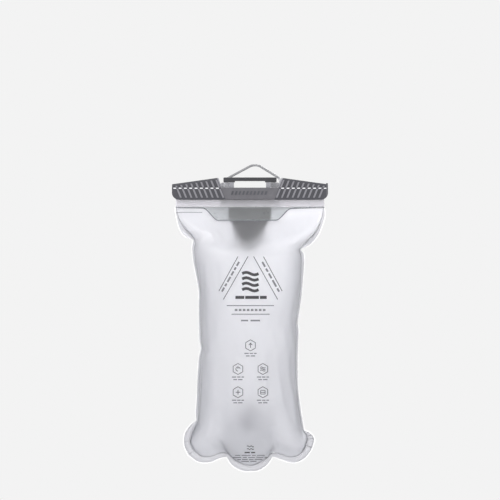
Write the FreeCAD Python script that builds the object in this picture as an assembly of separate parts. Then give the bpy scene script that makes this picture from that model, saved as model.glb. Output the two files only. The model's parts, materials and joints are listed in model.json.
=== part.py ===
import FreeCAD, Part
import math
import os

from FreeCAD import Vector

# Hydration bladder, full and hanging upright. Millimetres, +Z up, the printed front faces -Y.
# The origin is the point where a hook carries the hang loop, on the bag's middle plane.

# --- heights along the hanging line -----------------------------------------------------------
SLIDER_BOTTOM_Z = -39.0        # underside of the slider below the hook point
MOUTH_DROP = 9.1               # weld between the mouth collar and the bag panels, below the slider
BAG_LENGTH = 305.9             # from the mouth weld to the foot of the water space

# --- bag panels -------------------------------------------------------------------------------
FILM = 1.0                     # panel film
MOUTH_MARGIN = 0.5             # film at the mouth beyond the collar's ends
TRUNK_HALF_WIDTH = 58.5        # half width of the filled trunk
TRUNK_HALF_DEPTH = 43.5        # half depth of the filled trunk
SEAM_HALF_DEPTH = 1.6          # half depth where the two films meet
SEAM = 0.8                     # thickness of one film in the flat weld
SEAM_WIDTH = 3.5               # flat weld beside the mouth and the trunk
EAR_REACH = 19.5               # how far the foot's corner lobes stand out past the trunk
FOOT_LOBE_HALF = 28.0          # half width of the middle foot lobe
FOOT_LOBE_DROP = 9.5           # middle foot lobe below the water space
FOOT_CUSP_RISE = 7.5           # notches beside the middle lobe above the water space
MOUTH_LOBE_INSET = 4.5         # weld's shoulder lobe inside the mouth's width
MOUTH_LOBE_DROP = 30.0
NOTCH_OUT = 6.0                # weld's notch outside the trunk, under the shoulder lobe
NOTCH_DROP = 45.0
WAIST_DROP = 105.0
HIP_OUT = 5.0
HIP_RISE = 54.0                # start of the corner lobe above the foot
LOWER_WAIST_RISE = 110.0
EAR_RISE = 26.0
EAR_UNDERSIDE = 24.0           # underside of the corner lobe outside the middle lobe
EAR_UNDERSIDE_RISE = 0.5

# Filled shape of the bag. Shoulders: distance below the mouth, flare from trunk (0) to mouth (1),
# fullness from flat (0) to the trunk's depth (1).
SHOULDERS = (
    (0.0, 0.92, 0.00), (15.5, 0.86, 0.15), (28.0, 0.62, 0.37), (40.0, 0.33, 0.56),
    (52.0, 0.23, 0.70), (72.0, 0.17, 0.82), (102.0, 0.07, 0.94), (142.0, 0.00, 1.00),
)
# Foot: height above the foot of the water space, width added to the trunk, fullness.
FOOT = (
    (119.0, 0.0, 0.99), (84.0, 1.5, 0.94), (54.0, 4.5, 0.84), (34.0, 5.5, 0.67),
    (18.0, 3.5, 0.42), (7.0, -1.5, 0.18), (0.0, -8.5, 0.00),
)

# --- fold-over mouth --------------------------------------------------------------------------
COLLAR = 0.7                   # collar film
COLLAR_GAP = 0.3               # between the two collars
COLLAR_END_GAP = 0.5           # from the collar to the plug in the slider's closed end
FOLD_HALF = 2.5                # from the middle plane to the axis of the fold
RAIL_HEIGHT = 3.3
FRONT_RAIL = 2.8               # thickness of the rail inside the fold
REAR_RAIL = 2.2                # thickness of the rail outside the fold
RAIL_ROUND = 0.8

# --- slider -----------------------------------------------------------------------------------
SLIDER_LENGTH = 185.0
SLIDER_HEIGHT = 14.2           # channel, without wings
SLIDER_WALL = 1.8
SLIDER_LIP = 2.0               # lips either side of the slot
SLOT_CLEARANCE = 0.65          # from the collar to each side of the slot
RAIL_CLEARANCE = 0.45          # from the rear rail to the channel
FOLD_CLEARANCE = 0.65          # from the fold to the channel's roof and back
CHANNEL_ROUND = 2.2
CORNER_ROUND = 8.0             # lower corners in the front view
WING_END_RISE = 4.2            # wings above the channel at the slider's ends
WING_PEAK_RISE = 12.5          # wings above the channel near the middle
WING_SETBACK = 2.0             # step from the channel's face to the wing's face
WING_TOP_ROUND = 2.0
WING_PEAK_X = 38.2
WING_FOOT_X = 33.4
RIB_START_X = 29.5             # lower end of the innermost rib
RIB_COUNT = 9
RIB_PITCH = 6.3
RIB_WIDTH = 2.2
RIB_HEIGHT = 1.0
RIB_SLANT = 22.0               # degrees
RIB_MARGIN = 1.6               # bare band above and below the ribs
END_CAP = 2.0
END_PLUG = 1.5                 # part of the cap inside the channel
END_PLUG_GAP = 0.1
END_TIP = 1.2                  # tip that stands above the wing's end

# --- cleat ------------------------------------------------------------------------------------
POST_X = 21.8
POST_WIDTH = 5.4
POST_DEPTH = 6.0
TENON_WIDTH = 3.2
TENON_DEPTH = 3.8
TENON_HEIGHT = 3.8
TENON_GAP = 0.05
CLEAT_WINDOW = 8.1             # height of the gap under the bar
BAR_HEIGHT = 4.2
BAR_DEPTH = 6.6
BAR_HALF_LENGTH = 31.6
BAR_BLOCK_INNER_X = 17.9
BAR_BLOCK_DROP = 1.5
BAR_ROUND = 1.0

# --- hang loop --------------------------------------------------------------------------------
LOOP_THICKNESS = 2.8
LOOP_CLEARANCE = 0.6           # behind the slider's ribs
LOOP_HINGE_DROP = 7.05         # flex line below the slider
LOOP_BASE_DROP = 3.2           # top of the loop's wide base, below the channel's top
LOOP_SHOULDER_RISE = 6.8       # top of the loop's shoulders, above the channel's top
LOOP_BASE_HALF = 35.5
LOOP_SHOULDER_INNER = 23.0
HINGE_GAP = 0.35
# Corners of the loop's rod as (x, z, bend radius), from its left foot to its right foot.
LOOP_CORNERS = (
    (-29.0, -30.0, 0.0), (-29.0, -14.0, 6.0), (6.5, 5.0, 14.0), (38.0, -14.5, 7.0), (32.0, -30.0, 0.0),
)

# --- hang patch -------------------------------------------------------------------------------
PATCH = 1.0
PATCH_GAP = 0.2                # weld layer between the patch and the film
PATCH_HALF = 25.5
PATCH_BLOCK_DROP = 8.5         # moulded block under the hinge
PATCH_SHOULDER_DROP = 18.5
PATCH_TIP_DROP = 52.0
PATCH_TIP_HALF = 7.0
PATCH_TIP_ROUND = 5.6
PATCH_INNER_Y = 0.5            # patch starts behind the seam plane

# --- hose port --------------------------------------------------------------------------------
PORT_RISE = 48.0               # port axis above the foot of the water space
PORT_BORE = 5.25               # radius that the plug runs in
PORT_BORE_LENGTH = 10.0
PORT_WALL = 7.75               # body outside the bag, around the bore
PORT_LENGTH = 17.0
SPIGOT_WALL = 1.8              # around the valve chamber
SPIGOT_REACH = 3.5             # spigot past the flange, where the nut sits
FLANGE_RIM = 7.5               # welded rim around the spigot
FLANGE_LENGTH = 9.5
FLANGE_PROUD = 1.2             # outer face of the flange beyond the panel
NUT_RIM = 3.5                  # across the nut's corners, around the spigot
NUT_HEIGHT = 3.4
NUT_GAP = 0.05
NUT_FLATS = 6
SEAT_RADIUS = 3.6
SEAT_LENGTH = 2.0
NOSE_POCKET = 3.0
NOSE_POCKET_STEP = 0.65        # pocket smaller than the bore
CHAMBER_STEP = 0.95            # valve chamber larger than the bore
ORING_RADIUS = 0.9
ORING_DEPTH = 0.05             # O-ring below the bore's surface
ORING_GAP = 0.05               # between the O-ring and its groove
ORING_BACK = 2.0               # O-ring middle from the bore's inner end

# --- latch ------------------------------------------------------------------------------------
BUTTON_TRAVEL = 1.8
LATCH = 1.5
LATCH_SIDE = 2.15              # plate beside the bore
LATCH_SILL = 2.75              # plate below the bore
LATCH_HEAD = 4.15              # plate above the bore
LATCH_GAP = 0.25
LATCH_HOLE_GAP = 0.06
LATCH_FROM_MOUTH = 5.2         # latch plate's middle from the port's mouth
BUTTON_HALF_WIDTH = 5.0
BUTTON_LENGTH = 6.6
BUTTON_HEIGHT = 6.0
BUTTON_GAP = 0.3
BUTTON_ROUND = 0.8
BUTTON_SPRING_RADIUS = 2.2     # outside of the coil
BUTTON_SPRING_LENGTH = 3.1
SPRING_WIRE = 0.3              # wire radius of both springs
SPRING_GAP = 0.1

# --- valve ------------------------------------------------------------------------------------
VALVE_TRAVEL = 3.0
POPPET_GAP = 1.1               # around the poppet, for the water
POPPET_DISC = 1.8
STEM_RADIUS = 1.7
STEM_REACH = 2.2               # stem tip past the seat, where the plug's nose meets it
GUIDE_RADIUS = 1.5
GUIDE_GAP = 0.08
GUIDE_INSET = 0.1              # guide's end inside the spigot's end
SEAL = 0.6
SEAL_GAP = 0.05
VALVE_SPRING_RADIUS = 3.0
VALVE_SPRING_TURNS = 4
BUTTON_SPRING_TURNS = 2
CAGE = 1.6
CAGE_GAP = 0.05
CAGE_INSET = 0.2               # cage inside the spigot's end
CAGE_HOLE = 1.0
CAGE_HOLE_RIM = 1.0            # from the holes to the cage's edge
CAGE_HOLES = 6

# --- places worked out from the sizes above ---------------------------------------------------
MOUTH_Z = SLIDER_BOTTOM_Z - MOUTH_DROP
FOOT_Z = MOUTH_Z - BAG_LENGTH
COLLAR_OUT = COLLAR_GAP / 2 + COLLAR
FOLD_OUT = FOLD_HALF + COLLAR_OUT
CAVITY_FRONT_Y = -(FOLD_HALF + FOLD_OUT + REAR_RAIL + RAIL_CLEARANCE)
CAVITY_REAR_Y = COLLAR_OUT + FOLD_CLEARANCE
CHANNEL_FRONT_Y = CAVITY_FRONT_Y - SLIDER_WALL
CHANNEL_REAR_Y = CAVITY_REAR_Y + SLIDER_WALL
SLIDER_MID_Y = (CHANNEL_FRONT_Y + CHANNEL_REAR_Y) / 2
CHANNEL_TOP_Z = SLIDER_BOTTOM_Z + SLIDER_HEIGHT
CAVITY_TOP_Z = CHANNEL_TOP_Z - SLIDER_WALL
CAVITY_BOTTOM_Z = SLIDER_BOTTOM_Z + SLIDER_LIP
SLOT_HALF = COLLAR_OUT + SLOT_CLEARANCE
FOLD_Z = CAVITY_TOP_Z - FOLD_CLEARANCE - FOLD_OUT
RAIL_BOTTOM_Z = CAVITY_BOTTOM_Z + RAIL_CLEARANCE * 2
SLIDER_HALF = SLIDER_LENGTH / 2
CHANNEL_END_X = SLIDER_HALF - END_CAP
COLLAR_HALF_LENGTH = CHANNEL_END_X - END_PLUG - COLLAR_END_GAP
MOUTH_HALF_WIDTH = COLLAR_HALF_LENGTH + MOUTH_MARGIN
BAR_BOTTOM_Z = CHANNEL_TOP_Z + CLEAT_WINDOW
BAR_TOP_Z = BAR_BOTTOM_Z + BAR_HEIGHT
POST_TOP_Z = BAR_BOTTOM_Z - BAR_BLOCK_DROP
LOOP_HINGE_Z = SLIDER_BOTTOM_Z - LOOP_HINGE_DROP
LOOP_BASE_TOP_Z = CHANNEL_TOP_Z - LOOP_BASE_DROP
LOOP_SHOULDER_TOP_Z = CHANNEL_TOP_Z + LOOP_SHOULDER_RISE
LOOP_Y = CHANNEL_REAR_Y + RIB_HEIGHT + LOOP_CLEARANCE + LOOP_THICKNESS / 2
PATCH_TOP_Z = LOOP_HINGE_Z - LOOP_THICKNESS / 2 - HINGE_GAP
PORT_Z = FOOT_Z + PORT_RISE
PORT_RADIUS = PORT_BORE + PORT_WALL
CHAMBER_RADIUS = PORT_BORE + CHAMBER_STEP
NOSE_POCKET_RADIUS = PORT_BORE - NOSE_POCKET_STEP
SPIGOT_RADIUS = CHAMBER_RADIUS + SPIGOT_WALL
FLANGE_RADIUS = SPIGOT_RADIUS + FLANGE_RIM
NUT_RADIUS = SPIGOT_RADIUS + NUT_RIM
POPPET_RADIUS = CHAMBER_RADIUS - POPPET_GAP
CAGE_HOLE_CIRCLE = CHAMBER_RADIUS - CAGE_GAP - CAGE_HOLE_RIM - CAGE_HOLE
LATCH_HALF_WIDTH = PORT_BORE + LATCH_SIDE
LATCH_BOTTOM = PORT_BORE + LATCH_SILL
LATCH_TOP = PORT_BORE + LATCH_HEAD
BIG = 400.0                    # cutters that only one face of matters
OVER = 1.0                     # how far a cutter or a joining piece runs past a face


def box(x0, x1, y0, y1, z0, z1):
    return Part.makeBox(x1 - x0, y1 - y0, z1 - z0, Vector(x0, y0, z0))


def prism_xz(points, y0, y1):
    wire = Part.makePolygon([Vector(x, y0, z) for x, z in points] + [Vector(points[0][0], y0, points[0][1])])
    return Part.Face(wire).extrude(Vector(0, y1 - y0, 0))


def rod_y(radius, y0, y1, x=0.0, z=None):
    z = PORT_Z if z is None else z
    return Part.makeCylinder(radius, y1 - y0, Vector(x, y0, z), Vector(0, 1, 0))


def save(name, shape):
    shape = shape.removeSplitter()
    if not shape.isValid():
        raise RuntimeError(name + " is not a valid shape")
    shape.exportStep("parts/" + name + ".step")
    print(name, len(shape.Solids), round(shape.Volume, 1))


# --- bag --------------------------------------------------------------------------------------

def bag_sections():
    """(z, half width, half depth) of the filled bag, from the mouth to the foot."""
    fat = TRUNK_HALF_DEPTH - SEAM_HALF_DEPTH
    flare = MOUTH_HALF_WIDTH - TRUNK_HALF_WIDTH
    upper = [(MOUTH_Z - d, TRUNK_HALF_WIDTH + f * flare, SEAM_HALF_DEPTH + k * fat) for d, f, k in SHOULDERS]
    lower = [(FOOT_Z + h, TRUNK_HALF_WIDTH + w, SEAM_HALF_DEPTH + k * fat) for h, w, k in FOOT]
    return upper + lower


def depth_at(z):
    """Half depth of the bag at a height, between its sections."""
    rows = bag_sections()
    for (za, _, ba), (zb, _, bb) in zip(rows, rows[1:]):
        if zb <= z <= za:
            return ba + (bb - ba) * (za - z) / (za - zb)
    return SEAM_HALF_DEPTH


def bag_half(side, grow, top=0.0):
    """Half of the filled bag on one side of the seam plane, grown outwards by a distance."""
    wires = []
    for z, half_width, half_depth in bag_sections():
        a = half_width + grow
        curve = Part.Ellipse(Vector(0, 0, z), a, half_depth + grow)
        start = math.pi if side < 0 else 0.0
        arc = Part.ArcOfEllipse(curve, start, start + math.pi).toShape()
        chord = Part.LineSegment(arc.Vertexes[-1].Point, arc.Vertexes[0].Point).toShape()
        wires.append(Part.Wire([arc, chord]))
    half = Part.makeLoft(wires, True, False)
    if top:
        lid = Part.Face(wires[0]).extrude(Vector(0, 0, top))
        half = half.fuse(lid)
    return half


def seam_outline():
    """Front-view outline of the flat weld: straight at the mouth, scalloped at the foot."""
    mouth = MOUTH_HALF_WIDTH
    trunk = TRUNK_HALF_WIDTH + SEAM_WIDTH
    ear = TRUNK_HALF_WIDTH + EAR_REACH
    foot = FOOT_Z
    p_top = Vector(mouth, 0, MOUTH_Z)
    p_lobe = Vector(mouth - MOUTH_LOBE_INSET, 0, MOUTH_Z - MOUTH_LOBE_DROP)
    p_notch = Vector(trunk + NOTCH_OUT, 0, MOUTH_Z - NOTCH_DROP)
    p_waist = Vector(trunk, 0, MOUTH_Z - WAIST_DROP)
    p_low_waist = Vector(trunk, 0, foot + LOWER_WAIST_RISE)
    p_hip = Vector(trunk + HIP_OUT, 0, foot + HIP_RISE)
    p_ear = Vector(ear, 0, foot + EAR_RISE)
    p_ear_low = Vector(FOOT_LOBE_HALF + EAR_UNDERSIDE, 0, foot + EAR_UNDERSIDE_RISE)
    p_cusp = Vector(FOOT_LOBE_HALF, 0, foot + FOOT_CUSP_RISE)
    p_low = Vector(0, 0, foot - FOOT_LOBE_DROP)
    side = Part.BSplineCurve()
    side.interpolate([p_notch, p_waist, p_low_waist, p_hip])
    ear_curve = Part.BSplineCurve()
    ear_curve.interpolate([p_hip, p_ear, p_ear_low, p_cusp])
    edges = [
        Part.Arc(p_top, p_lobe, p_notch).toShape(),
        side.toShape(),
        ear_curve.toShape(),
        Part.Arc(p_cusp, p_low, Vector(-p_cusp.x, 0, p_cusp.z)).toShape(),
    ]
    mirror = FreeCAD.Matrix(-1, 0, 0, 0, 0, 1, 0, 0, 0, 0, 1, 0, 0, 0, 0, 1)
    edges += [edge.transformGeometry(mirror) for edge in edges[:3]]
    edges.append(Part.LineSegment(Vector(-mouth, 0, MOUTH_Z), p_top).toShape())
    return Part.Wire(Part.__sortEdges__(edges))


def panel(side):
    """One bulged film panel with its half of the flat weld."""
    weld = Part.Face(seam_outline()).extrude(Vector(0, side * SEAM, 0))
    shell = bag_half(side, 0.0).fuse(weld)
    return shell.cut(bag_half(side, -FILM, top=FILM * 3))


# --- mouth ------------------------------------------------------------------------------------

def collar(side):
    """J-shaped strip: up from the bag, over the fold and down again in front."""
    inner = FOLD_HALF + side * COLLAR_GAP / 2
    outer = FOLD_HALF + side * COLLAR_OUT
    r0, r1 = sorted((inner, outer))
    x0 = -COLLAR_HALF_LENGTH
    length = 2 * COLLAR_HALF_LENGTH
    up = box(x0, -x0, r0 - FOLD_HALF, r1 - FOLD_HALF, MOUTH_Z, FOLD_Z)
    down = box(x0, -x0, -FOLD_HALF - r1, -FOLD_HALF - r0, RAIL_BOTTOM_Z, FOLD_Z)
    axis = Vector(x0, -FOLD_HALF, FOLD_Z)
    ring = Part.makeCylinder(r1, length, axis, Vector(1, 0, 0))
    ring = ring.cut(Part.makeCylinder(r0, length, axis, Vector(1, 0, 0)))
    ring = ring.common(box(x0, -x0, -BIG, BIG, FOLD_Z, BIG))
    return up.fuse([down, ring])


def rail(y0, y1):
    bar = box(-COLLAR_HALF_LENGTH, COLLAR_HALF_LENGTH, y0, y1, RAIL_BOTTOM_Z, RAIL_BOTTOM_Z + RAIL_HEIGHT)
    long_edges = [e for e in bar.Edges if abs(e.Vertexes[0].X - e.Vertexes[-1].X) > 1.0]
    return bar.makeFillet(RAIL_ROUND, long_edges)


def front_rail():
    inner_leg_y = -2 * FOLD_HALF + COLLAR_OUT
    return rail(inner_leg_y, inner_leg_y + FRONT_RAIL)


def rear_rail():
    outer_leg_y = -FOLD_HALF - FOLD_OUT
    return rail(outer_leg_y - REAR_RAIL, outer_leg_y)


# --- slider -----------------------------------------------------------------------------------

def wing_section(x, top_z):
    """Rounded-top section of a wing at one place along the slider."""
    y0 = CHANNEL_FRONT_Y + WING_SETBACK
    y1 = CHANNEL_REAR_Y - WING_SETBACK
    r = WING_TOP_ROUND
    base = CHANNEL_TOP_Z - SLIDER_WALL / 2
    k = r * (1 - math.sqrt(0.5))
    edges = [
        Part.LineSegment(Vector(x, y0, base), Vector(x, y0, top_z - r)).toShape(),
        Part.Arc(Vector(x, y0, top_z - r), Vector(x, y0 + k, top_z - k), Vector(x, y0 + r, top_z)).toShape(),
        Part.LineSegment(Vector(x, y0 + r, top_z), Vector(x, y1 - r, top_z)).toShape(),
        Part.Arc(Vector(x, y1 - r, top_z), Vector(x, y1 - k, top_z - k), Vector(x, y1, top_z - r)).toShape(),
        Part.LineSegment(Vector(x, y1, top_z - r), Vector(x, y1, base)).toShape(),
        Part.LineSegment(Vector(x, y1, base), Vector(x, y0, base)).toShape(),
    ]
    return Part.Wire(edges)


def wing(sign):
    end = wing_section(sign * SLIDER_HALF, CHANNEL_TOP_Z + WING_END_RISE)
    peak = wing_section(sign * WING_FOOT_X, CHANNEL_TOP_Z + WING_PEAK_RISE)
    solid = Part.makeLoft([end, peak], True, True)
    slope = (
        (sign * WING_FOOT_X, CHANNEL_TOP_Z),
        (sign * WING_PEAK_X, CHANNEL_TOP_Z + WING_PEAK_RISE + OVER),
        (0.0, CHANNEL_TOP_Z + WING_PEAK_RISE + OVER),
        (0.0, CHANNEL_TOP_Z),
    )
    return solid.cut(prism_xz(slope, -BIG, BIG))


def wing_top_z(x):
    """Height of the wing's top edge at a distance from the middle."""
    share = (abs(x) - WING_FOOT_X) / (SLIDER_HALF - WING_FOOT_X)
    return CHANNEL_TOP_Z + WING_PEAK_RISE + share * (WING_END_RISE - WING_PEAK_RISE)


def rib(sign, index):
    """One slanted rib on the channel's faces and its continuation on the wing's faces."""
    lean = math.tan(math.radians(RIB_SLANT))
    foot_x = RIB_START_X + RIB_PITCH * index
    low = SLIDER_BOTTOM_Z + CHANNEL_ROUND
    high = CHANNEL_TOP_Z - RIB_MARGIN

    def bar(z0, z1, y0, y1):
        xa = foot_x + (z0 - SLIDER_BOTTOM_Z) * lean
        xb = foot_x + (z1 - SLIDER_BOTTOM_Z) * lean
        points = (
            (sign * xa, z0), (sign * (xa + RIB_WIDTH), z0),
            (sign * (xb + RIB_WIDTH), z1), (sign * xb, z1),
        )
        return prism_xz(points, y0, y1)

    lower = bar(low, high, CHANNEL_FRONT_Y - RIB_HEIGHT, CHANNEL_REAR_Y + RIB_HEIGHT)
    face0 = CHANNEL_FRONT_Y + WING_SETBACK - RIB_HEIGHT
    face1 = CHANNEL_REAR_Y - WING_SETBACK + RIB_HEIGHT
    outer_x = foot_x + RIB_WIDTH + (SLIDER_HEIGHT + WING_PEAK_RISE) * lean
    top = wing_top_z(min(outer_x, SLIDER_HALF)) - WING_TOP_ROUND
    upper = bar(CHANNEL_TOP_Z - RIB_MARGIN / 2, top, face0, face1)
    return [lower, upper]


def slider_silhouette(x0, x1):
    """Front-view envelope with rounded lower corners, between two places along the slider."""
    block = box(-SLIDER_HALF, SLIDER_HALF, -BIG, BIG, SLIDER_BOTTOM_Z, BIG)
    corners = [
        e for e in block.Edges
        if abs(e.CenterOfMass.z - SLIDER_BOTTOM_Z) < 0.1 and abs(abs(e.CenterOfMass.x) - SLIDER_HALF) < 0.1
    ]
    block = block.makeFillet(CORNER_ROUND, corners)
    return block.common(box(x0, x1, -BIG, BIG, -BIG, BIG))


def slider_solid():
    """Outside of the slider, ribs included, before its channel is cut."""
    block = box(-SLIDER_HALF, SLIDER_HALF, CHANNEL_FRONT_Y, CHANNEL_REAR_Y, SLIDER_BOTTOM_Z, CHANNEL_TOP_Z)
    long_edges = [e for e in block.Edges if abs(e.Vertexes[0].X - e.Vertexes[-1].X) > 1.0]
    block = block.makeFillet(CHANNEL_ROUND / 2, long_edges)
    pieces = [wing(-1), wing(1)]
    for sign in (-1, 1):
        for index in range(RIB_COUNT):
            pieces += rib(sign, index)
    return block.fuse(pieces)


def slider_channel(outside):
    cavity = box(-BIG, CHANNEL_END_X, CAVITY_FRONT_Y, CAVITY_REAR_Y, CAVITY_BOTTOM_Z, CAVITY_TOP_Z)
    slot = box(-BIG, CHANNEL_END_X, -SLOT_HALF, SLOT_HALF, SLIDER_BOTTOM_Z - OVER, CAVITY_BOTTOM_Z + OVER)
    channel = outside.common(slider_silhouette(-SLIDER_HALF, CHANNEL_END_X)).cut(cavity.fuse(slot))
    posts = []
    for sign in (-1, 1):
        x = sign * POST_X
        y = SLIDER_MID_Y
        w = POST_WIDTH / 2
        d = POST_DEPTH / 2
        tw = TENON_WIDTH / 2
        td = TENON_DEPTH / 2
        posts.append(box(x - w, x + w, y - d, y + d, CHANNEL_TOP_Z - SLIDER_WALL / 2, POST_TOP_Z))
        posts.append(box(x - tw, x + tw, y - td, y + td, POST_TOP_Z - OVER, POST_TOP_Z + TENON_HEIGHT))
    return channel.fuse(posts)


def slider_end_cap(outside):
    cap = outside.common(slider_silhouette(CHANNEL_END_X, SLIDER_HALF))
    g = END_PLUG_GAP
    plug = box(
        CHANNEL_END_X - END_PLUG, CHANNEL_END_X + OVER, CAVITY_FRONT_Y + g, CAVITY_REAR_Y - g,
        CAVITY_BOTTOM_Z + CORNER_ROUND / 2, CAVITY_TOP_Z - g,
    )
    tip = box(
        CHANNEL_END_X, SLIDER_HALF, SLIDER_MID_Y - POST_DEPTH / 2, SLIDER_MID_Y + POST_DEPTH / 2,
        CHANNEL_TOP_Z, CHANNEL_TOP_Z + WING_END_RISE + END_TIP,
    )
    return cap.fuse([plug, tip])


def cleat_bar():
    y = SLIDER_MID_Y
    d = BAR_DEPTH / 2
    pieces = [box(-BAR_HALF_LENGTH, BAR_HALF_LENGTH, y - d, y + d, BAR_BOTTOM_Z, BAR_TOP_Z)]
    for sign in (-1, 1):
        x0, x1 = sorted((sign * BAR_BLOCK_INNER_X, sign * BAR_HALF_LENGTH))
        pieces.append(box(x0, x1, y - d, y + d, POST_TOP_Z, BAR_TOP_Z))
    bar = pieces[0].fuse(pieces[1:]).removeSplitter()
    rounded = [
        e for e in bar.Edges
        if e.CenterOfMass.z > BAR_TOP_Z - 0.1 or min(abs(v.X) for v in e.Vertexes) > BAR_HALF_LENGTH - 0.1
    ]
    bar = bar.makeFillet(BAR_ROUND, rounded)
    for sign in (-1, 1):
        x = sign * POST_X
        w = TENON_WIDTH / 2 + TENON_GAP
        t = TENON_DEPTH / 2 + TENON_GAP
        top = POST_TOP_Z + TENON_HEIGHT + TENON_GAP
        bar = bar.cut(box(x - w, x + w, y - t, y + t, POST_TOP_Z - OVER, top))
    return bar


# --- hang loop --------------------------------------------------------------------------------

def rod_path(corners, y):
    """Straight runs joined by tangent arcs through (x, z, radius) corners in one plane."""
    edges = []
    points = [Vector(x, y, z) for x, z, _ in corners]
    start = points[0]
    for i in range(1, len(points) - 1):
        into = (points[i] - points[i - 1]).normalize()
        out = (points[i + 1] - points[i]).normalize()
        turn = into.getAngle(out)
        radius = corners[i][2]
        setback = radius * math.tan(turn / 2)
        a = points[i] - into * setback
        b = points[i] + out * setback
        bisector = (out - into).normalize()
        middle = points[i] + bisector * (radius / math.cos(turn / 2) - radius)
        edges.append(Part.LineSegment(start, a).toShape())
        edges.append(Part.Arc(a, middle, b).toShape())
        start = b
    edges.append(Part.LineSegment(start, points[-1]).toShape())
    return Part.Wire(edges)


def hang_loop():
    path = rod_path(LOOP_CORNERS, LOOP_Y)
    r = LOOP_THICKNESS / 2
    x, z, _ = LOOP_CORNERS[0]
    circle = Part.Wire(Part.makeCircle(r, Vector(x, LOOP_Y, z), Vector(0, 0, 1)))
    rod = path.makePipeShell([circle], True, True)
    y0, y1 = LOOP_Y - r, LOOP_Y + r
    outline = (
        (-LOOP_BASE_HALF, LOOP_HINGE_Z), (LOOP_BASE_HALF, LOOP_HINGE_Z),
        (LOOP_BASE_HALF, LOOP_SHOULDER_TOP_Z), (LOOP_SHOULDER_INNER, LOOP_SHOULDER_TOP_Z),
        (LOOP_SHOULDER_INNER, LOOP_BASE_TOP_Z), (-LOOP_SHOULDER_INNER, LOOP_BASE_TOP_Z),
        (-LOOP_SHOULDER_INNER, LOOP_SHOULDER_TOP_Z), (-LOOP_BASE_HALF, LOOP_SHOULDER_TOP_Z),
    )
    plate = prism_xz(outline, y0, y1)
    upright = [e for e in plate.Edges if abs(e.Vertexes[0].Y - e.Vertexes[-1].Y) > 1.0]
    upright = [e for e in upright if e.CenterOfMass.z > LOOP_HINGE_Z + 1.0]
    plate = plate.makeFillet(LOOP_THICKNESS, upright)
    start = Vector(-LOOP_BASE_HALF, LOOP_Y, LOOP_HINGE_Z)
    knuckle = Part.makeCylinder(r, 2 * LOOP_BASE_HALF, start, Vector(1, 0, 0))
    return plate.fuse([knuckle, rod])


def hang_patch():
    """Tapered patch on the rear panel with the moulded block that the loop flexes on."""
    skin = bag_half(1, PATCH_GAP + PATCH).cut(bag_half(1, PATCH_GAP, top=OVER))
    shoulder_z = MOUTH_Z - PATCH_SHOULDER_DROP
    tip_z = MOUTH_Z - PATCH_TIP_DROP
    tongue = prism_xz(
        (
            (-PATCH_HALF, MOUTH_Z), (PATCH_HALF, MOUTH_Z), (PATCH_HALF, shoulder_z),
            (PATCH_TIP_HALF, tip_z), (-PATCH_TIP_HALF, tip_z), (-PATCH_HALF, shoulder_z),
        ),
        PATCH_INNER_Y, BIG,
    )
    upright = [e for e in tongue.Edges if abs(e.Vertexes[0].Y - e.Vertexes[-1].Y) > 1.0]
    upright = [e for e in upright if e.CenterOfMass.z < MOUTH_Z - 1.0]
    tongue = tongue.makeFillet(PATCH_TIP_ROUND, upright)
    block = box(
        -PATCH_HALF, PATCH_HALF, COLLAR_OUT + PATCH_GAP, LOOP_Y + LOOP_THICKNESS / 2,
        MOUTH_Z - PATCH_BLOCK_DROP, PATCH_TOP_Z,
    )
    block = block.cut(bag_half(1, PATCH_GAP))
    return skin.common(tongue).fuse(block)


# --- hose port --------------------------------------------------------------------------------

FLANGE_OUT_Y = depth_at(PORT_Z + FLANGE_RADIUS) + FLANGE_PROUD
FLANGE_IN_Y = FLANGE_OUT_Y - FLANGE_LENGTH
MOUTH_Y = FLANGE_OUT_Y + PORT_LENGTH
BORE_IN_Y = MOUTH_Y - PORT_BORE_LENGTH
POCKET_IN_Y = BORE_IN_Y - NOSE_POCKET
SEAT_IN_Y = POCKET_IN_Y - SEAT_LENGTH
SPIGOT_IN_Y = FLANGE_IN_Y - SPIGOT_REACH
LATCH_Y = MOUTH_Y - LATCH_FROM_MOUTH
SEAL_IN_Y = SEAT_IN_Y - SEAL_GAP - SEAL
POPPET_IN_Y = SEAL_IN_Y - POPPET_DISC
CAGE_OUT_Y = SPIGOT_IN_Y + CAGE + CAGE_INSET
LATCH_SLOT_FLOOR = LATCH_BOTTOM + BUTTON_SPRING_LENGTH + 2 * SPRING_GAP
ORING_Y = BORE_IN_Y + ORING_BACK


def port_flange():
    ring = rod_y(FLANGE_RADIUS, FLANGE_IN_Y, FLANGE_OUT_Y)
    return ring.cut(rod_y(SPIGOT_RADIUS + NUT_GAP, FLANGE_IN_Y - OVER, FLANGE_OUT_Y + OVER))


def oring_space(grow):
    return Part.makeTorus(
        PORT_BORE + ORING_RADIUS + ORING_DEPTH, ORING_RADIUS + grow,
        Vector(0, ORING_Y, PORT_Z), Vector(0, 1, 0),
    )


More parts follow.
